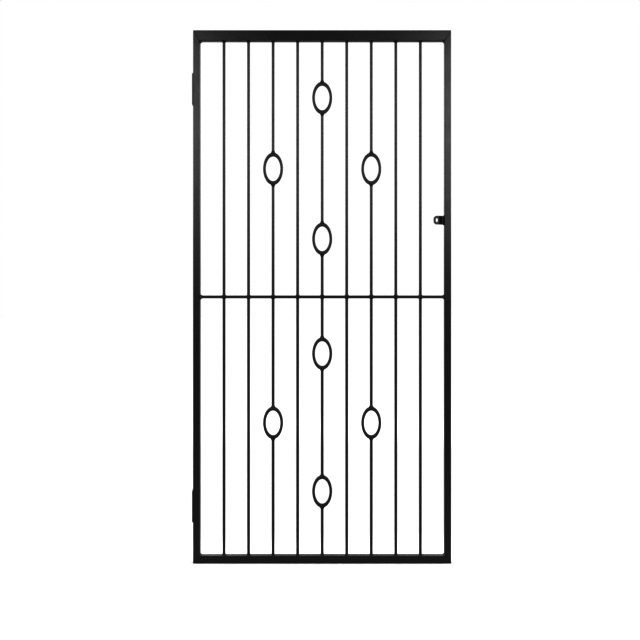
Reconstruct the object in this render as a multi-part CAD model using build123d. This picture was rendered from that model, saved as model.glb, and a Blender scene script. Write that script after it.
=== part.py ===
"""Security grille door: a mitred tube leaf with round bars, oval rings and two butt hinges.

Millimetres. +X runs from the hinges to the lock side, +Y to the back, +Z up.
The origin is on the outer flat face of the lower hinge's fixed leaf, at mid height
and at the middle of the door's thickness. The leaf swings towards +Y.
"""

from build123d import *
import os
from math import sqrt

# Leaf, over its frame of tubes
leaf_width = 1000.0
leaf_height = 2068.0
leaf_depth = 40.0

# Frame tubes: the face seen from the front, the wall and the corner rounding
stile_face = 25.0
top_rail_face = 40.0
bottom_rail_face = 30.0
tube_wall = 1.8
tube_corner = 3.0

# Corners of the frame: rounding ground on outside, and the groove along each mitre for its weld
corner_dressing = 2.0
mitre_groove = 1.2

# Flat bar at mid height, punched for the round bars
mid_rail_height = 10.0
mid_rail_depth = 25.0
punch_clearance = 0.25

# Round bars
bar_count = 9
bar_diameter = 10.0
bar_pitch = 95.5

# Oval rings: overall size, wall at the sides and at the ends, radii of the end arcs
ring_width = 76.5
ring_height = 125.0
ring_side = 9.5
ring_end = 14.0
ring_depth = 12.0
ring_end_radius = 27.0
ring_hole_radius = 21.0
ring_seat = 1.0

# Ring centres of the middle bar, from the edges of the two panes
upper_ring_above_mid = 221.0
upper_ring_below_top = 220.0
lower_ring_below_mid = 215.5
lower_ring_above_bottom = 247.5

# How far the rings beside them sit below the mean level of these
side_ring_drop = 1.5

# Padlock lug on the lock stile
lug_reach = 42.0
lug_height = 33.0
lug_thickness = 5.0
lug_root = 5.0
lug_crank = 14.0
lug_end_round = 12.0
lug_level = 1332.0
slot_width = 8.5
slot_height = 15.0
slot_from_end = 12.2

# Butt hinges
hinge_height = 122.0
hinge_from_bottom = 220.0
hinge_from_top = 226.0
hinge_leaf = 1.8
hinge_leaf_gap = 0.4
hinge_front_inset = 5.0
hinge_back_gap = 0.6
hinge_corner = 4.0
knuckles = 5
knuckle_gap = 0.3
pin_diameter = 6.0
pin_clearance = 0.05
pin_head = 2.0
pin_head_step = 0.4
screws = 3
screw_hole = 4.5
screw_head = 8.5
screw_end_distance = 17.0
screw_side_step = 7.0

# Places worked out from the sizes above
stile_outer = 2 * hinge_leaf + hinge_leaf_gap
leaf_bottom = -hinge_from_bottom
leaf_top = leaf_bottom + leaf_height
leaf_right = stile_outer + leaf_width
clear_left = stile_outer + stile_face
clear_right = leaf_right - stile_face
pane_bottom = leaf_bottom + bottom_rail_face
pane_top = leaf_top - top_rail_face
mid_under = leaf_bottom + leaf_height / 2 - mid_rail_height / 2
mid_over = mid_under + mid_rail_height
door_centre = (stile_outer + leaf_right) / 2
door_middle = (leaf_bottom + leaf_top) / 2
back_plane = leaf_depth / 2
knuckle_radius = pin_diameter / 2 + pin_clearance + hinge_leaf
pivot_x = hinge_leaf + hinge_leaf_gap / 2
pivot_y = back_plane + hinge_back_gap + knuckle_radius
upper_hinge_level = leaf_top - hinge_from_top
ring_seat_height = ring_height / 2 - ring_seat

# Bars that carry rings: the middle one, and the second one to each side of it
middle_bar = (bar_count + 1) // 2
side_bars = (middle_bar - 2, middle_bar + 2)


def save(solid, node):
    """Write one sub-part to its own file."""
    export_step(solid, f"parts/{node}.step")


def tube(face, length):
    """Hollow tube along +Z from the origin, its seen face along X and its depth along Y."""
    outside = RectangleRounded(face, leaf_depth, tube_corner)
    inside = RectangleRounded(face - 2 * tube_wall, leaf_depth - 2 * tube_wall, tube_corner - tube_wall)
    return extrude(outside - inside, length)


def frame_corners():
    """Outer and inner corners of the frame in the front view, from bottom left and round to the right."""
    left_to_right = (stile_outer, leaf_right, leaf_right, stile_outer)
    outer = list(zip(left_to_right, (leaf_bottom, leaf_bottom, leaf_top, leaf_top)))
    left_to_right = (clear_left, clear_right, clear_right, clear_left)
    inner = list(zip(left_to_right, (pane_bottom, pane_bottom, pane_top, pane_top)))
    return outer, inner


def weld_groove(outer, inner, face_y):
    """Groove along one mitre line, as a cutter with a diamond section, on the front or back face."""
    start, end = Vector(outer[0], face_y, outer[1]), Vector(inner[0], face_y, inner[1])
    along = Plane(origin=(start + end) / 2, x_dir=end - start, z_dir=(0, 1, 0))
    side = mitre_groove * sqrt(2)
    return along * Rot(45, 0, 0) * Box((end - start).length + 2 * mitre_groove, side, side)


def mitred(member, first, second):
    """Cut a tube to its two mitred ends, grind the frame's outer corners and groove the mitres."""
    outer, inner = frame_corners()
    outline = make_face(Polyline(outer[first], outer[second], inner[second], inner[first], close=True))
    ground = RectangleRounded(leaf_width, leaf_height, corner_dressing)
    member &= extrude(Plane.XZ * outline, leaf_depth, both=True)
    member &= Pos(door_centre, 0, door_middle) * extrude(Plane.XZ * ground, leaf_depth, both=True)
    for corner in (first, second):
        for face_y in (-back_plane, back_plane):
            member -= weld_groove(outer[corner], inner[corner], face_y)
    return member


def rail(face, level, first, second):
    """Horizontal frame tube between two mitred corners."""
    member = Pos(stile_outer, 0, level) * Rot(0, 90, 0) * tube(face, leaf_width)
    return mitred(member, first, second)


def stile(centre, first, second):
    """Upright frame tube between two mitred corners."""
    member = Pos(centre, 0, leaf_bottom) * tube(stile_face, leaf_height)
    return mitred(member, first, second)


def bar_x(number):
    """Centre of a bar, counted from 1 at the hinge side."""
    return door_centre + (number - (bar_count + 1) / 2) * bar_pitch


def round_bar(number, low, high):
    """Length of round bar between two levels."""
    return Pos(bar_x(number), 0, low) * extrude(Circle(bar_diameter / 2), high - low)


def mid_rail():
    """Flat bar between the stiles with a punched hole for each round bar."""
    length = clear_right - clear_left
    blank = Pos(door_centre, 0, door_middle) * Box(length, mid_rail_depth, mid_rail_height)
    punch = Cylinder(bar_diameter / 2 + punch_clearance, 2 * mid_rail_height)
    return blank - [Pos(bar_x(n), 0, door_middle) * punch for n in range(1, bar_count + 1)]


def oval(half_width, half_height, end_radius):
    """Oval of four arcs that run into each other without a corner: two end arcs and two side arcs."""
    rise = half_height - end_radius
    side_radius = (half_width**2 + rise**2 - end_radius**2) / (2 * (half_width - end_radius))
    reach = side_radius / (side_radius - end_radius)
    join_x = half_width - side_radius + (side_radius - half_width) * reach
    join_y = rise * reach
    arcs = [
        ThreePointArc((join_x, -join_y), (half_width, 0), (join_x, join_y)),
        ThreePointArc((join_x, join_y), (0, half_height), (-join_x, join_y)),
        ThreePointArc((-join_x, join_y), (-half_width, 0), (-join_x, -join_y)),
        ThreePointArc((-join_x, -join_y), (0, -half_height), (join_x, -join_y)),
    ]
    return make_face(arcs)


def oval_ring():
    """Oval ring, its ends ground flat where the bars butt on it."""
    half_width, half_height = ring_width / 2, ring_height / 2
    outside = oval(half_width, half_height, ring_end_radius)
    hole = oval(half_width - ring_side, half_height - ring_end, ring_hole_radius)
    ring = extrude(Plane.XZ * (outside - hole), ring_depth / 2, both=True)
    return ring & Box(2 * ring_width, 2 * ring_depth, 2 * ring_seat_height)


def ringed_bar(number, centres):
    """Lengths of round bar and the rings between them, from the bottom up."""
    ends = [pane_bottom]
    for centre in centres:
        ends += [centre - ring_seat_height, centre + ring_seat_height]
    ends.append(pane_top)
    lengths = [round_bar(number, low, high) for low, high in zip(ends[::2], ends[1::2])]
    rings = [Pos(bar_x(number), 0, centre) * oval_ring() for centre in centres]
    return lengths, rings


def lock_lug():
    """Cranked plate on the lock stile: root on the stile, end brought forward, slotted for a padlock."""
    end = clear_right - lug_reach
    bend = clear_right - lug_root
    half = lug_thickness / 2
    slant = lug_thickness * (sqrt(2) - 1)
    strip = make_face(
        Polyline(
            (clear_right, half),
            (bend, half),
            (bend - lug_crank, half - lug_crank),
            (end, half - lug_crank),
            (end, -half - lug_crank),
            (bend - lug_crank - slant, -half - lug_crank),
            (bend - slant, -half),
            (clear_right, -half),
            close=True,
        )
    )
    level = leaf_bottom + lug_level
    plate = Pos(0, 0, level - lug_height / 2) * extrude(strip, lug_height)
    plate = fillet(plate.edges().filter_by(Axis.Y).group_by(Axis.X)[0], lug_end_round)
    slot = extrude(Plane.XZ * SlotOverall(slot_height, slot_width, rotation=90), leaf_depth, both=True)
    return plate - Pos(end + slot_from_end, 0, level) * slot


def knuckle_levels():
    """Low and high level of each knuckle, from the bottom of the hinge, centred on zero."""
    length = (hinge_height - (knuckles - 1) * knuckle_gap) / knuckles
    lows = [-hinge_height / 2 + k * (length + knuckle_gap) for k in range(knuckles)]
    return [(low, low + length) for low in lows]


def hinge_plate(outer_face, kept):
    """One hinge leaf with its rolled knuckles, about its own mid height."""
    width = pivot_y - (hinge_front_inset - back_plane)
    plate = Pos(outer_face + hinge_leaf / 2, pivot_y - width / 2, 0) * Box(hinge_leaf, width, hinge_height)
    plate = fillet(plate.edges().filter_by(Axis.X).group_by(Axis.Y)[0], hinge_corner)
    bore = knuckle_radius - hinge_leaf
    reach = knuckle_radius + knuckle_gap
    for index, (low, high) in enumerate(knuckle_levels()):
        at = Pos(pivot_x, pivot_y, (low + high) / 2)
        if index in kept:
            plate += at * Cylinder(knuckle_radius, high - low)
            plate -= at * Cylinder(bore, high - low)
        else:
            plate -= at * Cylinder(reach, high - low + 2 * knuckle_gap)
    return plate


def screw_holes():
    """Countersunk holes in a zigzag along a fixed leaf, as cutters whose wide end faces the door."""
    step = (hinge_height - 2 * screw_end_distance) / (screws - 1)
    sink = Rot(0, 90, 0) * Cone(screw_hole / 2, screw_head / 2, hinge_leaf)
    cutters = []
    for k in range(screws):
        level = (k - (screws - 1) / 2) * step
        side = screw_side_step * (-1) ** (k + 1)
        cutters.append(Pos(hinge_leaf / 2, side, level) * sink)
    return cutters


def hinge_pin():
    """Riveted pin: a shaft with a low head at each end."""
    level = (hinge_height + pin_head) / 2
    shaft = Cylinder(pin_diameter / 2, hinge_height)
    head = Cylinder(knuckle_radius - pin_head_step, pin_head)
    return Pos(pivot_x, pivot_y, 0) * (shaft + Pos(0, 0, level) * head + Pos(0, 0, -level) * head)


def ring_levels(number):
    """Levels of the ring centres on a bar, from the bottom up."""
    lower = (pane_bottom + lower_ring_above_bottom, mid_under - lower_ring_below_mid)
    upper = (mid_over + upper_ring_above_mid, pane_top - upper_ring_below_top)
    if number == middle_bar:
        return (*lower, *upper)
    if number in side_bars:
        return (sum(lower) / 2 - side_ring_drop, sum(upper) / 2 - side_ring_drop)
    return ()


def main():
    """Build every sub-part and write it."""
    os.makedirs("parts", exist_ok=True)

    save(rail(bottom_rail_face, leaf_bottom + bottom_rail_face / 2, 0, 1), "bottom_rail")
    save(rail(top_rail_face, leaf_top - top_rail_face / 2, 3, 2), "top_rail")
    save(stile(stile_outer + stile_face / 2, 0, 3), "hinge_stile")
    save(stile(leaf_right - stile_face / 2, 1, 2), "lock_stile")
    save(mid_rail(), "mid_rail")

    save(lock_lug(), "lock_lug")

    for number in range(1, bar_count + 1):
        lengths, rings = ringed_bar(number, ring_levels(number))
        for place, length in enumerate(lengths, 1):
            save(length, f"bar_{number}_length_{place}" if rings else f"bar_{number}")
        for place, ring in enumerate(rings, 1):
            save(ring, f"bar_{number}_ring_{place}")

    for name, level in (("lower", 0.0), ("upper", upper_hinge_level)):
        fixed = hinge_plate(0.0, range(0, knuckles, 2)) - screw_holes()
        moving = hinge_plate(hinge_leaf + hinge_leaf_gap, range(1, knuckles, 2))
        save(Pos(0, 0, level) * fixed, f"{name}_fixed_leaf")
        save(Pos(0, 0, level) * moving, f"{name}_moving_leaf")
        save(Pos(0, 0, level) * hinge_pin(), f"{name}_pin")


main()
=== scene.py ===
"""Security grille door, dressed for the studio: paint, weld beads, rounded oval rings and riveted pins.

Metres, in the row frame: +X runs from the hinges to the lock side, +Y to the back and +Z up. Places and
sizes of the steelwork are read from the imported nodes, and only what the nodes lack is sized here.
"""

import logging
import math
from dataclasses import asdict, dataclass, field
from enum import Enum

import bmesh
import bpy
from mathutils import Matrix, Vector


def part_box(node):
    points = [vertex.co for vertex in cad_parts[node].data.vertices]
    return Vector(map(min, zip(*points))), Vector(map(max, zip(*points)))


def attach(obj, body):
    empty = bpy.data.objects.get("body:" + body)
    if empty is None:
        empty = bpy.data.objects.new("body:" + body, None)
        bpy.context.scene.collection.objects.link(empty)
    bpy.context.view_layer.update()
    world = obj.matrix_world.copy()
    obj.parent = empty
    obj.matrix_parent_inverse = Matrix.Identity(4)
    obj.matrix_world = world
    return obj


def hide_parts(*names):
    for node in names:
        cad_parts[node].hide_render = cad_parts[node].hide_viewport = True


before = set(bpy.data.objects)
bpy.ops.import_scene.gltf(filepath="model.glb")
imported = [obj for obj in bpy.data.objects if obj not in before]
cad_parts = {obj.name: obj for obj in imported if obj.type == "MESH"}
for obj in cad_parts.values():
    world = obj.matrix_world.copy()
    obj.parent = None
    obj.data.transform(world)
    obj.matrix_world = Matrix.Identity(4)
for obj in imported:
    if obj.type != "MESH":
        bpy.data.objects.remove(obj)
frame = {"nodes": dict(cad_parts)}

MM = 0.001
KNUCKLES = 5
DOOR = "door_leaf"
POST_SIDE = "hinge_side"
PIXELS = 640
CORNER_STEPS = 8
COOL = (1.0, 1.0, 1.04)
DUSTY = (1.0, 0.97, 0.92)
STEELY = (1.0, 0.98, 0.95)
STAINED = (0.45, 0.41, 0.36)
BLOTCHES = (0.3, 0.7)

X_AXIS = Vector((1, 0, 0))
Y_AXIS = Vector((0, 1, 0))
Z_AXIS = Vector((0, 0, 1))

Socket = bpy.types.NodeSocket
Material = bpy.types.Material
Pair = tuple[float, float]
Box = tuple[Vector, Vector]

log = logging.getLogger("grille_door")


class Graph:
    """Adds nodes to a shader or geometry tree and wires them."""

    ROUGHNESS = 0.55

    def __init__(self, tree: bpy.types.NodeTree) -> None:
        """Take over the node tree that is to be filled."""
        self.tree = tree

    def add(self, kind: str, sockets: dict | None = None, **settings) -> bpy.types.Node:
        """Add one node.

        Args:
            kind: Blender's name for the node type.
            sockets: What each input gets, by socket name or number: an output socket or a plain value.
            **settings: Properties of the node itself, such as its operation.

        Returns:
            The new node.
        """
        node = self.tree.nodes.new(kind)
        for name, value in settings.items():
            setattr(node, name, value)
        for name, value in (sockets or {}).items():
            self.feed(node.inputs[name], value)
        return node

    def feed(self, socket: Socket, value: object) -> None:
        """Wire an output into a socket, or set the socket to a plain value.

        Args:
            socket: The input to fill.
            value: An output socket, or a value of the input's own type.
        """
        if isinstance(value, Socket):
            self.tree.links.new(value, socket)
        else:
            socket.default_value = value

    def math(self, operation: str, *values: object) -> Socket:
        """Add a Math node for sockets or numbers, in order, and give its result."""
        return self.add("ShaderNodeMath", dict(enumerate(values)), operation=operation).outputs[0]

    def vector(self, operation: str, *values: object) -> Socket:
        """Add a Vector Math node that gives a vector.

        Args:
            operation: Name of the operation, such as SCALE.
            *values: Sockets or triples, in order. The last is the factor where the operation is SCALE.

        Returns:
            The result's socket.
        """
        node = self.add("ShaderNodeVectorMath", operation=operation)
        slots = ("Vector", "Scale") if operation == "SCALE" else (0, 1, 2)
        for name, value in zip(slots, values):
            self.feed(node.inputs[name], value)
        return node.outputs["Vector"]

    def mix(self, share: object, plain: object, full: object, kind: str = "RGBA") -> Socket:
        """Mix two sockets or values: a share of 0 gives the plain one, and a share of 1 the full one."""
        sockets = {"Factor": share, "A": plain, "B": full}
        return self.add("ShaderNodeMix", sockets, data_type=kind).outputs["Result"]

    def split(self, value: object) -> bpy.types.bpy_prop_collection:
        """Take a vector apart into its sockets X, Y and Z."""
        return self.add("ShaderNodeSeparateXYZ", {0: value}).outputs

    def span(self, value: object, source: Pair, target: Pair) -> Socket:
        """Map the source range of a socket to the target range, smoothly and without overshoot."""
        sockets = {0: value, 1: source[0], 2: source[1], 3: target[0], 4: target[1]}
        return self.add("ShaderNodeMapRange", sockets, interpolation_type="SMOOTHSTEP").outputs[0]

    def noise(self, at: object, size: object, detail: float = 2.0, seed: object = 0.0) -> bpy.types.Node:
        """Add a noise whose blotches are about as large as the given size.

        Args:
            at: Socket with the place, in metres.
            size: Size of a blotch in metres, as a socket or a number.
            detail: Octaves of finer noise.
            seed: Number that picks the pattern.

        Returns:
            The noise node.
        """
        scale = self.math("DIVIDE", 1.0, size) if isinstance(size, Socket) else 1 / size
        sockets = {"Vector": at, "W": seed, "Scale": scale, "Detail": detail, "Roughness": self.ROUGHNESS}
        return self.add("ShaderNodeTexNoise", sockets, noise_dimensions="4D")


def tinted(tone: float, tint: tuple[float, float, float]) -> tuple[float, ...]:
    """Give the opaque colour that has these shares of a grey tone in red, green and blue."""
    return (*(tone * share for share in tint), 1)


def blank_material(name: str) -> tuple[Material, Graph, bpy.types.Node, Socket]:
    """Start a material.

    Args:
        name: Name of the material.

    Returns:
        The material, its graph, its surface shader and the socket with object coordinates.
    """
    material = bpy.data.materials.new(name)
    material.use_nodes = True
    graph = Graph(material.node_tree)
    place = graph.add("ShaderNodeTexCoord").outputs["Object"]
    return material, graph, material.node_tree.nodes["Principled BSDF"], place


@dataclass(frozen=True)
class PaintFinish:
    """Black semi-gloss paint on steel, seen at its real scale."""

    name: str
    tone: float = 0.030
    dust_tone: float = 0.085
    shine: float = 0.5
    gloss_range: Pair = (0.165, 0.21)
    patch_size: float = 90 * MM
    peel_size: float = 1.7 * MM
    peel_depth: float = 0.010 * MM
    sag_size: float = 28 * MM
    sag_depth: float = 0.04 * MM
    dust_lean: Pair = (0.35, 0.95)
    dust_cover: Pair = (0.04, 0.75)
    dust_size: float = 14 * MM
    dust_roughness: float = 0.22
    grain_span: Pair = (0.32, 0.72)
    grain_cover: Pair = (0.25, 1.0)
    seed: float = 1.0

    def build(self) -> Material:
        """Make the material.

        Returns:
            The finished material.
        """
        material, graph, shader, place = blank_material(self.name)
        patches = graph.noise(place, self.patch_size, detail=3.0, seed=self.seed).outputs["Fac"]
        dust = self.dust(graph, place)
        tone = graph.mix(dust, tinted(self.tone, COOL), tinted(self.dust_tone, DUSTY))
        graph.feed(shader.inputs["Base Color"], tone)
        gloss = graph.span(patches, BLOTCHES, self.gloss_range)
        gloss = graph.math("MULTIPLY_ADD", dust, self.dust_roughness, gloss)
        graph.feed(shader.inputs["Roughness"], gloss)
        graph.feed(shader.inputs["Normal"], self.relief(graph, place))
        graph.feed(shader.inputs["Specular IOR Level"], self.shine)
        self.wear(graph, place, shader, tone)
        return material

    def dust(self, graph: Graph, place: Socket) -> Socket:
        """Give how much dust lies on a point: most on faces that look up, in uneven patches.

        Args:
            graph: The material's tree.
            place: Object coordinates.

        Returns:
            Share of dust, 0 to 1.
        """
        upward = graph.split(graph.add("ShaderNodeNewGeometry").outputs["Normal"])["Z"]
        lying = graph.span(upward, self.dust_lean, self.dust_cover)
        grains = graph.noise(place, self.dust_size, detail=5.0, seed=self.seed + 2).outputs["Fac"]
        cover = graph.span(grains, self.grain_span, self.grain_cover)
        return graph.math("MULTIPLY", lying, cover)

    def relief(self, graph: Graph, place: Socket) -> Socket:
        """Give the surface's normal: slow sags of the coat with fine orange peel on them.

        Args:
            graph: The material's tree.
            place: Object coordinates.

        Returns:
            Normal socket.
        """
        sag = graph.noise(place, self.sag_size, detail=1.0, seed=self.seed + 5).outputs["Fac"]
        peel = graph.noise(place, self.peel_size, detail=1.5, seed=self.seed + 7).outputs["Fac"]
        slow = graph.add("ShaderNodeBump", {"Height": sag, "Distance": self.sag_depth, "Strength": 1.0})
        fine = {"Height": peel, "Distance": self.peel_depth, "Strength": 1.0, "Normal": slow.outputs[0]}
        return graph.add("ShaderNodeBump", fine).outputs[0]

    def wear(self, graph: Graph, place: Socket, shader: bpy.types.Node, tone: Socket) -> None:
        """Rub the paint where the finish is worn; plain paint is not."""


@dataclass(frozen=True)
class KnucklePaint(PaintFinish):
    """The same paint on the hinge leaves, rubbed to bare steel where knuckles turn on each other."""

    rub_levels: tuple[float, ...] = ()
    rub_from_y: float = 0.0
    rub_reach: float = 1.1 * MM
    rub_left_out: float = 0.45
    nick_size: float = 1.6 * MM
    steel: float = 0.42

    def wear(self, graph: Graph, place: Socket, shader: bpy.types.Node, tone: Socket) -> None:
        """Show bare steel in a thin, broken line at each end of a knuckle.

        Args:
            graph: The material's tree.
            place: Object coordinates.
            shader: The surface shader.
            tone: Colour socket of the sound paint.
        """
        parts = graph.split(place)
        nearest: object = 1.0
        for level in self.rub_levels:
            gap = graph.math("ABSOLUTE", graph.math("SUBTRACT", parts["Z"], level))
            nearest = graph.math("MINIMUM", nearest, gap)
        nicks = graph.noise(place, self.nick_size, detail=3.0, seed=self.seed + 11).outputs["Fac"]
        reach = graph.math("MULTIPLY", nicks, 2 * self.rub_reach)
        reach = graph.math("SUBTRACT", reach, self.rub_left_out * self.rub_reach)
        rubbed = graph.math("LESS_THAN", nearest, reach)
        rubbed = graph.math("MULTIPLY", rubbed, graph.math("GREATER_THAN", parts["Y"], self.rub_from_y))
        graph.feed(shader.inputs["Base Color"], graph.mix(rubbed, tone, tinted(self.steel, STEELY)))
        graph.feed(shader.inputs["Metallic"], rubbed)


@dataclass(frozen=True)
class SteelFinish:
    """Bare turned steel of the riveted pins."""

    name: str
    tone: float = 0.34
    gloss_range: Pair = (0.30, 0.48)
    turning_pitch: float = 0.35 * MM
    turning_depth: float = 0.012 * MM
    turning_strength: float = 0.6
    stain_size: float = 3 * MM
    stain_span: Pair = (0.45, 0.7)

    def build(self) -> Material:
        """Make the material.

        Returns:
            The finished material.
        """
        material, graph, shader, place = blank_material(self.name)
        stain = graph.noise(place, self.stain_size, detail=4.0, seed=3.0).outputs["Fac"]
        share = graph.span(stain, self.stain_span, (0.0, 1.0))
        tone = graph.mix(share, tinted(self.tone, STEELY), tinted(self.tone, STAINED))
        graph.feed(shader.inputs["Base Color"], tone)
        graph.feed(shader.inputs["Metallic"], 1.0)
        graph.feed(shader.inputs["Roughness"], graph.span(stain, BLOTCHES, self.gloss_range))
        turns = graph.math("MULTIPLY", graph.split(place)["Z"], 2 * math.pi / self.turning_pitch)
        sockets = {"Height": graph.math("SINE", turns), "Distance": self.turning_depth}
        relief = graph.add("ShaderNodeBump", {**sockets, "Strength": self.turning_strength})
        graph.feed(shader.inputs["Normal"], relief.outputs[0])
        return material


def placed(name: str, data: bpy.types.ID) -> bpy.types.Object:
    """Put a mesh, a lamp or a camera into the scene.

    Args:
        name: Name of its object.
        data: The mesh, lamp or camera.

    Returns:
        The object.
    """
    piece = bpy.data.objects.new(name, data)
    bpy.context.scene.collection.objects.link(piece)
    return piece


def modifier_tree(
    name: str, sizes: tuple[str, ...], counts: tuple[str, ...]
) -> tuple[Graph, dict[str, Socket], bpy.types.Node]:
    """Start a geometry tree with named inputs, and one for the material.

    Args:
        name: Name of the tree.
        sizes: Names of the inputs that take any number.
        counts: Names of the inputs that take a whole number.

    Returns:
        The tree's graph, its inputs' sockets by name, and the group's output node.
    """
    tree = bpy.data.node_groups.new(name, "GeometryNodeTree")
    tree.interface.new_socket("Geometry", in_out="INPUT", socket_type="NodeSocketGeometry")
    kinds = {**dict.fromkeys(sizes, "Float"), **dict.fromkeys(counts, "Int"), "Material": "Material"}
    for label, kind in kinds.items():
        tree.interface.new_socket(label, in_out="INPUT", socket_type=f"NodeSocket{kind}")
    tree.interface.new_socket("Geometry", in_out="OUTPUT", socket_type="NodeSocketGeometry")
    graph = Graph(tree)
    start = graph.add("NodeGroupInput")
    given = {socket.name: socket for socket in start.outputs if socket.name}
    return graph, given, graph.add("NodeGroupOutput")


def grown(
    name: str, seedling: bpy.types.Mesh, tree: bpy.types.NodeTree, values: dict[str, object]
) -> bpy.types.Object:
    """Run a geometry tree on a mesh and keep the result as a plain mesh.

    Args:
        name: Name of the finished piece.
        seedling: Mesh that the tree starts from.
        tree: The geometry tree.
        values: What each named input of the tree gets.

    Returns:
        The finished piece, with no modifier left on it.
    """
    piece = placed(name, seedling)
    modifier = piece.modifiers.new(name, "NODES")
    modifier.node_group = tree
    sockets = {item.name: item.identifier for item in tree.interface.items_tree if item.in_out == "INPUT"}
    for label, value in values.items():
        modifier[sockets[label]] = value
    result = piece.evaluated_get(bpy.context.evaluated_depsgraph_get())
    mesh = bpy.data.meshes.new_from_object(result)
    piece.modifiers.clear()
    piece.data = mesh
    mesh.name = name
    bpy.data.meshes.remove(seedling)
    log.info("%s: %d faces", name, len(mesh.polygons))
    return piece


def faces_outward(piece: bpy.types.Object) -> None:
    """Turn every face of a closed piece to the outside.

    Args:
        piece: The piece to mend.
    """
    work = bmesh.new()
    work.from_mesh(piece.data)
    bmesh.ops.recalc_face_normals(work, faces=work.faces)
    work.to_mesh(piece.data)
    work.free()


@dataclass(frozen=True)
class BeadShape:
    """Section and surface of one kind of weld bead.

    The section sits in the corner of two surfaces: foot and heel run along the one that carries the
    bead, rise stands up the other, and sink is buried. A hollow of 1 is round, 2 straight, more hollow.
    """

    foot: float
    rise: float
    heel: float = 0.5 * MM
    sink: float = 0.5 * MM
    hollow: float = 2.0
    pitch: float = 2.8 * MM
    ripple: float = 0.06
    lump: float = 0.50 * MM
    lump_size: float = 5 * MM
    variation: float = 0.12
    taper: float = 0.0

    def sizes(self) -> dict[str, float]:
        """Give every size under the name of its input in the bead tree."""
        return {name.replace("_", " ").title(): size for name, size in asdict(self).items()}


class Bead(Enum):
    """Kinds of weld bead on the door."""

    BAR_END = BeadShape(foot=4.2 * MM, rise=6.0 * MM, hollow=2.7)
    CROSSING_TOP = BeadShape(foot=4.1 * MM, rise=5.8 * MM, hollow=2.7)
    CROSSING_UNDER = BeadShape(foot=3.5 * MM, rise=4.2 * MM, hollow=2.5)
    RING_POLE = BeadShape(foot=4.0 * MM, rise=9.0 * MM, sink=1.4 * MM, hollow=2.7)
    RAIL_END = BeadShape(foot=6.3 * MM, rise=7.5 * MM, hollow=2.7)
    LUG_ROOT = BeadShape(foot=4.0 * MM, rise=4.4 * MM, hollow=2.1)
    INNER_CORNER = BeadShape(
        foot=6.4 * MM, rise=6.4 * MM, hollow=2.3, pitch=3.4 * MM,
        ripple=0.035, lump=0.20 * MM, taper=2 * MM,
    )
    MITRE = BeadShape(
        foot=0.9 * MM, heel=0.9 * MM, rise=0.45 * MM, hollow=1.0,
        ripple=0.03, lump=0.05 * MM, taper=4 * MM,
    )
    HINGE_EDGE = BeadShape(foot=1.7 * MM, rise=1.4 * MM, hollow=1.7, lump=0.15 * MM, taper=2 * MM)


@dataclass
class BeadPath:
    """A line that a weld bead follows: its points, and at each the way out from the standing piece."""

    points: list[Vector]
    outward: list[Vector]
    closed: bool


def loop_path(centre: Vector, up: Vector, across: Vector, half: Pair, corner: float) -> BeadPath:
    """Closed path round the foot of a bar or plate that stands on a surface.

    Args:
        centre: Middle of the bar or plate on the surface.
        up: Unit vector away from the surface.
        across: Unit vector in the surface, along the first half size.
        half: Half sizes along across and along up x across.
        corner: Radius of the path's corners, equal to both half sizes for a round bar.

    Returns:
        The path, anticlockwise about up.
    """
    along = up.cross(across)
    points, outward = [], []
    for quarter, (side_u, side_v) in enumerate(((1, 1), (-1, 1), (-1, -1), (1, -1))):
        middle = centre + across * side_u * (half[0] - corner) + along * side_v * (half[1] - corner)
        for step in range(CORNER_STEPS if half[0] == corner else CORNER_STEPS + 1):
            angle = (quarter + step / CORNER_STEPS) * math.pi / 2
            way = across * math.cos(angle) + along * math.sin(angle)
            points.append(middle + way * corner)
            outward.append(way)
    return BeadPath(points, outward, True)


def run_path(start: Vector, end: Vector, up: Vector, outward: Vector) -> BeadPath:
    """Open straight path in a corner.

    Args:
        start: One end.
        end: The other end.
        up: Unit vector along the bead's rise.
        outward: Unit vector along the bead's foot.

    Returns:
        The path, in the order that puts its rise on the side of up.
    """
    if (end - start).dot(up.cross(outward)) < 0:
        start, end = end, start
    return BeadPath([start, end], [outward, outward], False)


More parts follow.
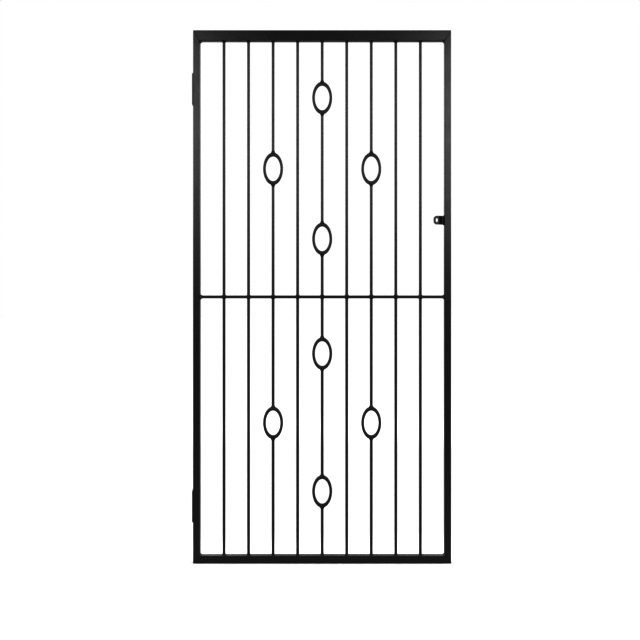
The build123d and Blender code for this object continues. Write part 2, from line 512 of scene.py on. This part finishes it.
class WeldShop:
    """Lays weld beads along paths with one geometry tree."""

    SECTION = 16
    STEP = 0.7 * MM
    SEED_STEP = 7.31
    END_SHARE = 0.06
    NO_TAPER = 1e-7

    def __init__(self) -> None:
        """Build the tree."""
        self.tree = self.bead_tree()

    def bead_tree(self) -> bpy.types.NodeTree:
        """Make the tree that sweeps a bead's section along every path of a mesh of edges.

        Returns:
            The geometry tree.
        """
        sizes = (*Bead.BAR_END.value.sizes(), "Step")
        graph, given, out = modifier_tree("weld_bead", sizes, ("Section", "Seed"))
        curve = graph.add("GeometryNodeMeshToCurve", {"Mesh": given["Geometry"]}).outputs[0]
        sockets = {"Curve": curve, "Length": given["Step"]}
        curve = graph.add("GeometryNodeResampleCurve", sockets, mode="LENGTH").outputs[0]
        sockets = {"Name": "outward"}
        named = graph.add("GeometryNodeInputNamedAttribute", sockets, data_type="FLOAT_VECTOR")
        sockets = {"Curve": curve, "Normal": named.outputs["Attribute"]}
        curve = graph.add("GeometryNodeSetCurveNormal", sockets, mode="FREE").outputs[0]
        sockets = {"Curve": curve, "Profile Curve": self.section(graph, given), "Fill Caps": True}
        sockets["Scale"] = self.swell(graph, given)
        bead = graph.add("GeometryNodeCurveToMesh", sockets).outputs[0]
        place = graph.add("GeometryNodeInputPosition").outputs[0]
        seed = graph.math("MULTIPLY", given["Seed"], self.SEED_STEP)
        lumps = graph.noise(place, given["Lump Size"], seed=seed)
        push = graph.vector("SUBTRACT", lumps.outputs["Color"], (0.5, 0.5, 0.5))
        push = graph.vector("SCALE", push, graph.math("MULTIPLY", given["Lump"], 2.0))
        bead = graph.add("GeometryNodeSetPosition", {"Geometry": bead, "Offset": push}).outputs[0]
        sockets = {"Geometry": bead, "Shade Smooth": True}
        bead = graph.add("GeometryNodeSetShadeSmooth", sockets).outputs[0]
        bead = graph.add("GeometryNodeRealizeInstances", {"Geometry": bead}).outputs[0]
        sockets = {"Geometry": bead, "Material": given["Material"]}
        graph.feed(out.inputs[0], graph.add("GeometryNodeSetMaterial", sockets).outputs[0])
        return graph.tree

    @staticmethod
    def section(graph: Graph, given: dict[str, Socket]) -> Socket:
        """Shape the bead's section out of a circle, with its own reach to each of the four sides.

        Args:
            graph: The tree's graph.
            given: The tree's inputs.

        Returns:
            The section's curve.
        """
        sockets = {"Resolution": given["Section"], "Radius": 1.0}
        circle = graph.add("GeometryNodeCurvePrimitiveCircle", sockets).outputs["Curve"]
        parts = graph.split(graph.add("GeometryNodeInputPosition").outputs[0])
        sides = []
        for axis, plus, minus in (("X", "Foot", "Heel"), ("Y", "Sink", "Rise")):
            reach = []
            for sign, label in ((1.0, plus), (-1.0, minus)):
                share = graph.math("MAXIMUM", graph.math("MULTIPLY", parts[axis], sign), 0.0)
                share = graph.math("POWER", share, given["Hollow"])
                reach.append(graph.math("MULTIPLY", share, given[label]))
            sides.append(graph.math("SUBTRACT", *reach))
        shape = graph.add("ShaderNodeCombineXYZ", {"X": sides[0], "Y": sides[1]}).outputs[0]
        return graph.add("GeometryNodeSetPosition", {"Geometry": circle, "Position": shape}).outputs[0]

    @staticmethod
    def swell(graph: Graph, given: dict[str, Socket]) -> Socket:
        """Give the bead's size along its path: its own size, its ripples, and its tapered ends.

        Args:
            graph: The tree's graph.
            given: The tree's inputs.

        Returns:
            Factor on the section at each point.
        """
        number = graph.add("GeometryNodeCurveOfPoint").outputs["Curve Index"]
        low = graph.math("SUBTRACT", 1.0, given["Variation"])
        high = graph.math("ADD", 1.0, given["Variation"])
        sockets = {2: low, 3: high, "ID": number, "Seed": given["Seed"]}
        own = graph.add("FunctionNodeRandomValue", sockets, data_type="FLOAT")
        along = graph.add("GeometryNodeSplineParameter").outputs
        turns = graph.math("DIVIDE", along["Length"], given["Pitch"])
        wave = graph.math("SINE", graph.math("MULTIPLY", turns, 2 * math.pi))
        wave = graph.math("MULTIPLY_ADD", wave, given["Ripple"], 1.0)
        total = graph.add("GeometryNodeSplineLength").outputs["Length"]
        end = graph.math("MINIMUM", along["Factor"], graph.math("SUBTRACT", 1.0, along["Factor"]))
        taper = graph.math("ADD", given["Taper"], WeldShop.NO_TAPER)
        end = graph.math("DIVIDE", graph.math("MULTIPLY", end, total), taper)
        end = graph.math("SQRT", graph.math("ADD", end, WeldShop.END_SHARE))
        cyclic = graph.add("GeometryNodeInputSplineCyclic").outputs[0]
        end = graph.math("MINIMUM", graph.math("MAXIMUM", end, cyclic), 1.0)
        return graph.math("MULTIPLY", graph.math("MULTIPLY", own.outputs[1], wave), end)

    def lay(self, name: str, bead: Bead, paths: list[BeadPath], paint: Material) -> None:
        """Lay one kind of bead along its paths and fasten it to the door.

        Args:
            name: Name of the piece.
            bead: Kind of bead.
            paths: Lines that it follows.
            paint: Material of the bead.
        """
        points, edges, outward = [], [], []
        for path in paths:
            first = len(points)
            points += path.points
            outward += path.outward
            last = len(points) - 1
            edges += [(index, index + 1) for index in range(first, last)]
            if path.closed:
                edges.append((last, first))
        mesh = bpy.data.meshes.new(name)
        mesh.from_pydata(points, edges, [])
        attribute = mesh.attributes.new("outward", "FLOAT_VECTOR", "POINT")
        attribute.data.foreach_set("vector", [value for way in outward for value in way])
        values = {**bead.value.sizes(), "Step": self.STEP, "Section": self.SECTION}
        values |= {"Seed": list(Bead).index(bead), "Material": paint}
        piece = grown(name, mesh, self.tree, values)
        faces_outward(piece)
        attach(piece, DOOR)


@dataclass
class OvalRings:
    """The oval rings, cast with rounded edges, each between two ellipses, with most wall at the poles."""

    nodes: list[str]
    side_wall: float = 9.5 * MM
    end_wall: float = 14 * MM
    edge_round: float = 0.45
    around: int = 96
    section: int = 20
    grain: float = 0.18 * MM
    grain_size: float = 9 * MM
    outline_end: float = 1 * MM
    seam: float = 0.005 * MM
    seed: int = 4

    def build(self, paint: Material) -> None:
        """Make all the rings as one piece in place of their nodes.

        Args:
            paint: Material of the rings.
        """
        boxes = [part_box(node) for node in self.nodes]
        low, high = boxes[0]
        half = (high - low) / 2
        mesh = bpy.data.meshes.new("oval_rings")
        mesh.from_pydata([(a + b) / 2 for a, b in boxes], [], [])
        values = {
            "Half Width": half.x, "Half Height": half.z + self.outline_end, "Half Depth": half.y,
            "Side Wall": self.side_wall, "End Wall": self.end_wall, "Edge Round": self.edge_round,
            "Seat": half.z, "Around": self.around, "Section": self.section,
            "Grain": self.grain, "Grain Size": self.grain_size, "Seam": self.seam, "Seed": self.seed,
            "Material": paint,
        }
        piece = grown("oval_rings", mesh, self.tree(), values)
        faces_outward(piece)
        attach(piece, DOOR)
        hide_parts(*self.nodes)

    def tree(self) -> bpy.types.NodeTree:
        """Make the tree that bends a grid into a ring and sets one on every point.

        Returns:
            The geometry tree.
        """
        lengths = ("Half Width", "Half Height", "Half Depth", "Side Wall", "End Wall", "Seat", "Seam")
        sizes = (*lengths, "Grain", "Grain Size", "Edge Round")
        graph, given, out = modifier_tree("oval_ring", sizes, ("Around", "Section", "Seed"))
        sockets = {"Size X": 1.0, "Size Y": 1.0}
        for side, count in (("X", "Around"), ("Y", "Section")):
            sockets[f"Vertices {side}"] = graph.math("ADD", given[count], 1.0)
        grid = graph.add("GeometryNodeMeshGrid", sockets).outputs["Mesh"]
        sockets = {"Geometry": grid, "Position": self.bent(graph, given)}
        ring = graph.add("GeometryNodeSetPosition", sockets).outputs[0]
        sockets = {"Geometry": ring, "Distance": given["Seam"]}
        ring = graph.add("GeometryNodeMergeByDistance", sockets).outputs[0]
        sockets = {"Geometry": ring, "Shade Smooth": True}
        ring = graph.add("GeometryNodeSetShadeSmooth", sockets).outputs[0]
        sockets = {"Points": given["Geometry"], "Instance": ring}
        rings = graph.add("GeometryNodeInstanceOnPoints", sockets).outputs[0]
        rings = graph.add("GeometryNodeRealizeInstances", {"Geometry": rings}).outputs[0]
        place = graph.add("GeometryNodeInputPosition").outputs[0]
        grain = graph.noise(place, given["Grain Size"], detail=1.0, seed=given["Seed"])
        inward = graph.vector("SCALE", graph.add("GeometryNodeInputNormal").outputs[0], -1.0)
        depth = graph.math("MULTIPLY", grain.outputs["Fac"], given["Grain"])
        push = graph.vector("SCALE", inward, depth)
        rings = graph.add("GeometryNodeSetPosition", {"Geometry": rings, "Offset": push}).outputs[0]
        sockets = {"Geometry": rings, "Material": given["Material"]}
        graph.feed(out.inputs[0], graph.add("GeometryNodeSetMaterial", sockets).outputs[0])
        return graph.tree

    @staticmethod
    def bent(graph: Graph, given: dict[str, Socket]) -> Socket:
        """Place a grid point on the ring: X of the grid runs round it, and Y round its section.

        Args:
            graph: The tree's graph.
            given: The tree's inputs.

        Returns:
            Socket with the new place.
        """
        parts = graph.split(graph.add("GeometryNodeInputPosition").outputs[0])
        turn = graph.math("MULTIPLY", parts["X"], 2 * math.pi)
        roll = graph.math("MULTIPLY", parts["Y"], 2 * math.pi)
        shares = []
        for operation in ("COSINE", "SINE"):
            plain = graph.math(operation, roll)
            rounded = graph.math("POWER", graph.math("ABSOLUTE", plain), given["Edge Round"])
            shares.append(graph.math("MULTIPLY", graph.math("SIGN", plain), rounded))
        sides = []
        axes = (("COSINE", "Half Width", "Side Wall"), ("SINE", "Half Height", "End Wall"))
        for operation, size, wall in axes:
            half_wall = graph.math("MULTIPLY", given[wall], 0.5)
            middle = graph.math("SUBTRACT", given[size], half_wall)
            reach = graph.math("ADD", middle, graph.math("MULTIPLY", half_wall, shares[0]))
            sides.append(graph.math("MULTIPLY", graph.math(operation, turn), reach))
        seat = graph.math("MULTIPLY", given["Seat"], -1.0)
        level = graph.math("MAXIMUM", graph.math("MINIMUM", sides[1], given["Seat"]), seat)
        depth = graph.math("MULTIPLY", given["Half Depth"], shares[1])
        return graph.add("ShaderNodeCombineXYZ", {"X": sides[0], "Y": depth, "Z": level}).outputs[0]


@dataclass
class Bars:
    """Round bars: a bead where each length ends, on a rail or a ring, and two at the flat bar."""

    nodes: list[str]
    bite: float = 0.15 * MM
    lengths: list[Box] = field(init=False)

    def __post_init__(self) -> None:
        """Read where each length of bar is."""
        self.lengths = [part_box(node) for node in self.nodes]

    def collar(self, x: float, level: float, up: Vector) -> BeadPath:
        """Path round a bar where it stands on a face.

        Args:
            x: The bar's centre.
            level: Height of the face.
            up: Unit vector from the face along the bar.

        Returns:
            The closed path, just under the bar's skin.
        """
        low, high = self.lengths[0]
        radius = (high.x - low.x) / 2 - self.bite
        return loop_path(Vector((x, 0, level)), up, X_AXIS, (radius, radius), radius)

    def weld(self, shop: WeldShop, paint: Material) -> None:
        """Lay all the beads of the bars.

        Args:
            shop: Who lays them.
            paint: Material of the beads.
        """
        bottom = min(low.z for low, high in self.lengths)
        top = max(high.z for low, high in self.lengths)
        on_rails, on_rings = [], []
        for low, high in self.lengths:
            x = (low.x + high.x) / 2
            for level, up, rail in ((low.z, Z_AXIS, bottom), (high.z, -Z_AXIS, top)):
                paths = on_rails if abs(level - rail) < MM else on_rings
                paths.append(self.collar(x, level, up))
        shop.lay("bar_end_beads", Bead.BAR_END, on_rails, paint)
        shop.lay("ring_beads", Bead.RING_POLE, on_rings, paint)
        flat_low, flat_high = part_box("mid_rail")
        places = sorted({round((low.x + high.x) / 2, 5) for low, high in self.lengths})
        over = [self.collar(x, flat_high.z, Z_AXIS) for x in places]
        under = [self.collar(x, flat_low.z, -Z_AXIS) for x in places]
        shop.lay("crossing_beads_over", Bead.CROSSING_TOP, over, paint)
        shop.lay("crossing_beads_under", Bead.CROSSING_UNDER, under, paint)


@dataclass
class LeafFrame:
    """Mitred tube frame and flat bar: corner welds, ground mitre seams and the flat bar's end welds."""

    corner_inset: float = 2.5 * MM
    seam_depth: float = 0.6 * MM
    seam_start: float = 12 * MM
    seam_end: float = 3 * MM
    flat_corner: float = 0.6 * MM
    outer: Box = field(init=False)
    inner: Box = field(init=False)

    def __post_init__(self) -> None:
        """Read the frame's outer and inner corners from the flat bar and the tubes."""
        left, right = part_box("hinge_stile")[0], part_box("lock_stile")[1]
        self.outer = left, right
        flat_low, flat_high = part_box("mid_rail")
        floor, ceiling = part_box("bottom_rail")[1].z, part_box("top_rail")[0].z
        self.inner = Vector((flat_low.x, left.y, floor)), Vector((flat_high.x, right.y, ceiling))

    def corners(self) -> list[Box]:
        """List the mitres as they are in the front view.

        Returns:
            Outer and inner corner of each mitre, from bottom left and round.
        """
        sides = ((0, 0), (1, 0), (1, 1), (0, 1))
        return [
            (Vector((self.outer[i].x, 0, self.outer[j].z)), Vector((self.inner[i].x, 0, self.inner[j].z)))
            for i, j in sides
        ]

    def weld(self, shop: WeldShop, paint: Material) -> None:
        """Lay the frame's beads.

        Args:
            shop: Who lays them.
            paint: Material of the beads.
        """
        front, back = self.outer[0].y, self.outer[1].y
        seams, corners = [], []
        for outer, inner in self.corners():
            across = (outer - inner).normalized()
            for face, up in ((front, -Y_AXIS), (back, Y_AXIS)):
                depth = Y_AXIS * face - up * self.seam_depth
                start = inner + across * self.seam_start + depth
                end = outer - across * self.seam_end + depth
                seams.append(run_path(start, end, up, up.cross(across)))
            rise = Vector((-math.copysign(1, across.x), 0, 0))
            foot = Vector((0, 0, -math.copysign(1, across.z)))
            reach = Y_AXIS * (back - self.corner_inset)
            corners.append(run_path(inner - reach, inner + reach, rise, foot))
        shop.lay("mitre_seams", Bead.MITRE, seams, paint)
        shop.lay("inner_corner_beads", Bead.INNER_CORNER, corners, paint)
        low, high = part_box("mid_rail")
        half = (high - low) / 2
        middle = (low + high) / 2
        ends = [
            loop_path(Vector((x, middle.y, middle.z)), up, Y_AXIS, (half.y, half.z), self.flat_corner)
            for x, up in ((low.x, X_AXIS), (high.x, -X_AXIS))
        ]
        shop.lay("flat_bar_end_beads", Bead.RAIL_END, ends, paint)


@dataclass
class LockLug:
    """Padlock lug, welded all round its root on the lock stile."""

    thickness: float = 5 * MM
    corner: float = 0.6 * MM

    def weld(self, shop: WeldShop, paint: Material) -> None:
        """Lay the bead round the lug's root.

        Args:
            shop: Who lays it.
            paint: Material of the bead.
        """
        low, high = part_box("lock_lug")
        half = (self.thickness / 2, (high.z - low.z) / 2)
        root = Vector((high.x, high.y - half[0], (low.z + high.z) / 2))
        path = loop_path(root, -X_AXIS, Y_AXIS, half, self.corner)
        shop.lay("lock_lug_bead", Bead.LUG_ROOT, [path], paint)


@dataclass
class Hinges:
    """The two butt hinges: beads that hold each moving leaf on the stile, and the riveted pins."""

    levels: tuple[str, str] = ("lower", "upper")
    return_to: float = 8 * MM
    leaf_corner: float = 4 * MM
    pin_radius: float = 3 * MM
    head_height: float = 2 * MM
    turns: int = 48
    dome_steps: int = 6
    corner_steps: int = 6
    rim_share: float = 0.25
    sharp_angle: float = 40.0

    def weld(self, shop: WeldShop, paint: Material) -> None:
        """Lay a bead along the front edge of each moving leaf, round its corners and back along its ends.

        Args:
            shop: Who lays them.
            paint: Material of the beads.
        """
        paths = []
        for level in self.levels:
            low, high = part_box(f"{level}_moving_leaf")
            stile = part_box("hinge_stile")[0].x
            points = [Vector((stile, self.return_to, low.z))]
            outward = [-Z_AXIS]
            for end, sign in ((low.z, -1), (high.z, 1)):
                middle = Vector((stile, low.y + self.leaf_corner, end - sign * self.leaf_corner))
                steps = range(self.corner_steps + 1)
                for step in steps if sign < 0 else reversed(steps):
                    angle = step / self.corner_steps * math.pi / 2
                    way = Z_AXIS * sign * math.cos(angle) - Y_AXIS * math.sin(angle)
                    points.append(middle + way * self.leaf_corner)
                    outward.append(way)
            points.append(Vector((stile, self.return_to, high.z)))
            outward.append(Z_AXIS)
            paths.append(BeadPath(points, outward, False))
        shop.lay("hinge_leaf_beads", Bead.HINGE_EDGE, paths, paint)

    def pin_outline(self, half: float, radius: float) -> list[Pair]:
        """Half outline of a pin, from the top of its upper head to the bottom of the lower one.

        Args:
            half: Half the pin's length over its heads.
            radius: Radius of a head.

        Returns:
            Radius and level of each point.
        """
        dome = []
        for step in range(self.dome_steps + 1):
            angle = step / self.dome_steps * math.pi / 2
            rise = self.head_height * (self.rim_share + (1 - self.rim_share) * math.cos(angle))
            dome.append((radius * math.sin(angle), half - self.head_height + rise))
        dome += [(radius, half - self.head_height), (self.pin_radius, half - self.head_height)]
        return dome + [(r, -z) for r, z in reversed(dome)]

    def pins(self, steel: Material) -> None:
        """Make both pins, their heads riveted to a low dome, in place of their nodes.

        Args:
            steel: Material of the pins.
        """
        work = bmesh.new()
        for level in self.levels:
            low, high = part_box(f"{level}_pin")
            middle = (low + high) / 2
            outline = self.pin_outline((high.z - low.z) / 2, (high.x - low.x) / 2)
            spread = [turn / self.turns * 2 * math.pi for turn in range(self.turns)]
            rows = []
            for radius, rise in outline[1:-1]:
                rim = [Vector((radius * math.cos(a), radius * math.sin(a), rise)) for a in spread]
                rows.append([work.verts.new(middle + point) for point in rim])
            poles = [work.verts.new(middle + Z_AXIS * outline[index][1]) for index in (0, -1)]
            for upper, lower in zip(rows, rows[1:]):
                for turn in range(self.turns):
                    after = (turn + 1) % self.turns
                    work.faces.new((upper[turn], upper[after], lower[after], lower[turn]))
            for pole, rim in zip(poles, (rows[0], rows[-1])):
                for turn in range(self.turns):
                    work.faces.new((pole, rim[turn], rim[(turn + 1) % self.turns]))
        bmesh.ops.recalc_face_normals(work, faces=work.faces)
        mesh = bpy.data.meshes.new("hinge_pins")
        work.to_mesh(mesh)
        work.free()
        mesh.shade_smooth()
        mesh.set_sharp_from_angle(angle=math.radians(self.sharp_angle))
        mesh.materials.append(steel)
        piece = placed("hinge_pins", mesh)
        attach(piece, POST_SIDE)
        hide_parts(*(f"{level}_pin" for level in self.levels))
        log.info("hinge_pins: %d faces", len(mesh.polygons))


@dataclass(frozen=True)
class SoftboxPlan:
    """A lamp with a wide, even face: where it stands round the door, and how bright it is."""

    name: str
    azimuth: float
    distance: float
    level: float
    size: Pair
    radiance: float
    fade: float = 0.0

    def build(self, middle: Vector) -> None:
        """Make the lamp and turn it to the door.

        Args:
            middle: Middle of the door, whose height is not used.
        """
        lamp = bpy.data.lights.new(self.name, "AREA")
        lamp.shape = "RECTANGLE"
        lamp.size, lamp.size_y = self.size
        lamp.energy = self.radiance * math.pi * self.size[0] * self.size[1]
        if self.fade:
            self.fade_out(lamp)
        holder = placed(self.name, lamp)
        turn = math.radians(self.azimuth)
        way = Vector((math.sin(turn), -math.cos(turn), 0))
        holder.location = Vector((middle.x, middle.y, self.level)) + way * self.distance
        holder.rotation_euler = (-way).to_track_quat("-Z", "Y").to_euler()
        holder.visible_camera = False

    def fade_out(self, lamp: bpy.types.Light) -> None:
        """Dim the lamp evenly towards its lower edge.

        Args:
            lamp: The lamp's data.
        """
        lamp.use_nodes = True
        graph = Graph(lamp.node_tree)
        height = graph.split(graph.add("ShaderNodeNewGeometry").outputs["Position"])["Z"]
        bottom = self.level - self.size[1] / 2
        sockets = {0: height, 1: bottom, 2: bottom + self.fade, 3: 0.0, 4: 1.0}
        share = graph.add("ShaderNodeMapRange", sockets).outputs[0]
        graph.feed(lamp.node_tree.nodes["Emission"].inputs["Strength"], share)


@dataclass
class Studio:
    """Camera, lamps, floor and surroundings of the photograph.

    Each glow is what the room shows in reflections, and its span is where that changes, as the part of a
    unit vector that points up, or to the back for the turn from the front of the room to its back.
    """

    image_width: float = 2.4813
    camera_distance: float = 5.223
    horizon_row: float = 285.0
    leaf_top_row: float = 30.43
    door_column: float = 322.08
    camera_right: float = 0.100
    sensor: float = 36.0
    floor_gap: float = 0.5 * MM
    floor_reach: float = 40.0
    floor_roughness: float = 0.9
    floor_tones: Pair = (0.62, 0.81)
    floor_span: Pair = (3.4, 5.5)
    floor_side_span: Pair = (2.7, 3.8)
    # Painted light: the floor is made paler in a band along the door, where the door's contact shadow
    # falls.
    contact_shadow_fill_tone: float = 0.13
    contact_shadow_fill_span: Pair = (0.25, 0.70)
    fill: float = 1.3
    front_glow: float = 0.12
    front_floor: float = 0.95
    front_under: float = 0.35
    back_low: float = 0.45
    back_high: float = 0.78
    ceiling: float = 1.10
    back_turn: Pair = (-0.2, 0.6)
    back_span: Pair = (-0.03, 0.17)
    front_span: Pair = (-0.22, -0.08)
    under_span: Pair = (-0.75, -0.35)
    ceiling_span: Pair = (0.55, 0.80)
    softboxes: tuple[SoftboxPlan, ...] = (
        SoftboxPlan("front_left", -23.9, 5.45, 1.795, (2.75, 2.13), 7.2, fade=1.2),
        SoftboxPlan("front_right", 20.8, 5.45, 1.795, (2.75, 2.13), 7.6, fade=1.2),
        SoftboxPlan("side_left", -78.0, 4.0, 1.92, (5.0, 1.3), 4.2),
        SoftboxPlan("side_right", 78.0, 4.0, 1.92, (5.0, 1.3), 4.2),
        SoftboxPlan("rear_left", -153.0, 5.4, 1.97, (3.7, 1.45), 1.5),
        SoftboxPlan("rear_right", 153.0, 5.4, 1.97, (3.7, 1.45), 1.5),
    )

    def build(self) -> None:
        """Set up everything that is not the door."""
        low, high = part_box("hinge_stile")[0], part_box("lock_stile")[1]
        self.camera(low, high)
        self.surroundings()
        self.floor(low.z)
        for plan in self.softboxes:
            plan.build((low + high) / 2)

    def camera(self, low: Vector, high: Vector) -> None:
        """Stand the camera level, square to the door, a little above its middle and a little right of it.

        Args:
            low: Lowest corner of the leaf.
            high: Highest corner of the leaf.
        """
        pixel = self.image_width / PIXELS
        horizon = high.z - (self.horizon_row - self.leaf_top_row) * pixel
        view = bpy.data.cameras.new("camera")
        view.sensor_width = self.sensor
        view.lens = self.sensor * self.camera_distance / self.image_width
        view.shift_x = -self.camera_right / self.image_width - (self.door_column - PIXELS / 2) / PIXELS
        view.shift_y = -(PIXELS / 2 - self.horizon_row) / PIXELS
        holder = placed("camera", view)
        middle = (low.x + high.x) / 2
        holder.location = (middle + self.camera_right, low.y - self.camera_distance, horizon)
        holder.rotation_euler = (math.pi / 2, 0, 0)
        bpy.context.scene.camera = holder

    def surroundings(self) -> None:
        """White to the eye, bright to matt surfaces, and in reflections a dim room, paler at the back."""
        scene = bpy.context.scene
        world = bpy.data.worlds.new("studio")
        world.use_nodes = True
        scene.world = world
        scene.view_settings.view_transform = "Raw"
        graph = Graph(world.node_tree)
        ray = graph.add("ShaderNodeLightPath").outputs
        parts = graph.split(graph.add("ShaderNodeTexCoord").outputs["Generated"])
        back = graph.span(parts["Y"], self.back_turn, (0.0, 1.0))
        back_glow = graph.span(parts["Z"], self.back_span, (self.back_low, self.back_high))
        front_glow = graph.span(parts["Z"], self.front_span, (self.front_floor, self.front_glow))
        under = graph.span(parts["Z"], self.under_span, (self.front_under, 1.0))
        front_glow = graph.math("MULTIPLY", front_glow, under)
        glow = graph.mix(back, front_glow, back_glow, "FLOAT")
        overhead = graph.span(parts["Z"], self.ceiling_span, (0.0, self.ceiling))
        glow = graph.math("MAXIMUM", glow, overhead)
        seen = graph.math("MULTIPLY", glow, ray["Is Glossy Ray"])
        matt = graph.math("MULTIPLY", ray["Is Diffuse Ray"], self.fill)
        struck = graph.math("MAXIMUM", ray["Is Glossy Ray"], ray["Is Diffuse Ray"])
        eye = graph.math("SUBTRACT", 1.0, struck)
        shader = world.node_tree.nodes["Background"]
        graph.feed(shader.inputs["Strength"], graph.math("ADD", graph.math("ADD", seen, matt), eye))
        graph.feed(shader.inputs["Color"], (1, 1, 1, 1))

    def floor(self, level: float) -> None:
        """Lay a plain pale floor just under the door, with painted shade where the lamps shine on it most
        and painted light along the door's foot, where the door's contact shadow falls.

        Args:
            level: Height of the door's lowest face.
        """
        mesh = bpy.data.meshes.new("floor")
        signs = ((-1, -1), (1, -1), (1, 1), (-1, 1))
        corners = [(x * self.floor_reach, y * self.floor_reach, level - self.floor_gap) for x, y in signs]
        mesh.from_pydata(corners, [], [(0, 1, 2, 3)])
        material, graph, shader, place = blank_material("pale_floor")
        away = graph.add("ShaderNodeVectorMath", {0: place}, operation="LENGTH").outputs["Value"]
        parts = graph.split(place)
        sideways, beside = (graph.math("ABSOLUTE", parts[axis]) for axis in "XY")
        # Painted shade and light: the floor's colour is darker near the middle, where the lamps light it
        # most, and paler further out and to the sides, behind the side lamps, where less light reaches
        # it.
        aside = graph.span(sideways, self.floor_side_span, self.floor_tones)
        tone = graph.math("MAXIMUM", graph.span(away, self.floor_span, self.floor_tones), aside)
        # Painted light: a paler band along the door's line brightens the floor where the door's contact
        # shadow falls.
        foot = graph.span(beside, self.contact_shadow_fill_span, (self.contact_shadow_fill_tone, 0.0))
        graph.feed(shader.inputs["Base Color"], graph.math("ADD", tone, foot))
        graph.feed(shader.inputs["Roughness"], self.floor_roughness)
        graph.feed(shader.inputs["Specular IOR Level"], 0.0)
        mesh.materials.append(material)
        piece = placed("floor", mesh)
        piece.visible_glossy = False


@dataclass
class GrilleDoor:
    """The whole door: its finishes, and the sub-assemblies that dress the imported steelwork."""

    nodes: dict[str, bpy.types.Object]
    finishes: dict[str, Material] = field(default_factory=dict)

    def mix_finishes(self) -> None:
        """Make one material for each slot of the record."""
        knuckle_edges = []
        for level in ("lower", "upper"):
            base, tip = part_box(f"{level}_fixed_leaf")
            step = (tip.z - base.z) / KNUCKLES
            knuckle_edges += [base.z + step * count for count in range(1, KNUCKLES)]
        paints = (
            PaintFinish("frame_paint_black", seed=1.0),
            PaintFinish("bar_paint_black", gloss_range=(0.26, 0.33), seed=21.0),
            PaintFinish("ring_paint_black", gloss_range=(0.30, 0.40), peel_depth=0.02 * MM, seed=41.0),
            PaintFinish("lug_paint_black", seed=61.0),
            # Painted shade: the hinge leaves get a darker copy of the frame's black paint, with a darker
            # tone and dust tone and weaker reflections, which stands in for the shade in the gap between
            # the leaves.
            KnucklePaint(
                "hinge_leaf_shaded_black", tone=0.019, dust_tone=0.06, shine=0.32, gloss_range=(0.33, 0.42),
                rub_levels=tuple(knuckle_edges), rub_from_y=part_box("lower_pin")[0].y, seed=81.0,
            ),
            SteelFinish("hinge_pin_steel"),
        )
        slots = ("frame_paint", "bar_paint", "ring_paint", "lug_paint", "hinge_leaf", "hinge_pin")
        self.finishes = {slot: paint.build() for slot, paint in zip(slots, paints)}

    def paint_nodes(self) -> None:
        """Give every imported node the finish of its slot."""
        for node in self.nodes.values():
            for place in node.material_slots:
                slot = place.material.name.split(".")[0]
                place.material = self.finishes[slot]

    def dress(self) -> None:
        """Build every sub-assembly in order."""
        self.mix_finishes()
        self.paint_nodes()
        rings = sorted(name for name in self.nodes if "_ring_" in name)
        bars = sorted(name for name in self.nodes if name.startswith("bar_") and name not in rings)
        shop = WeldShop()
        OvalRings(rings).build(self.finishes["ring_paint"])
        Bars(bars).weld(shop, self.finishes["bar_paint"])
        LeafFrame().weld(shop, self.finishes["frame_paint"])
        LockLug().weld(shop, self.finishes["lug_paint"])
        hinges = Hinges()
        hinges.weld(shop, self.finishes["hinge_leaf"])
        hinges.pins(self.finishes["hinge_pin"])


def main() -> None:
    """Dress the door and set up the studio."""
    logging.basicConfig(level=logging.INFO, format="%(name)s: %(message)s")
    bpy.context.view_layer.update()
    GrilleDoor(frame["nodes"]).dress()
    Studio().build()


if __name__ == "__main__":
    main()
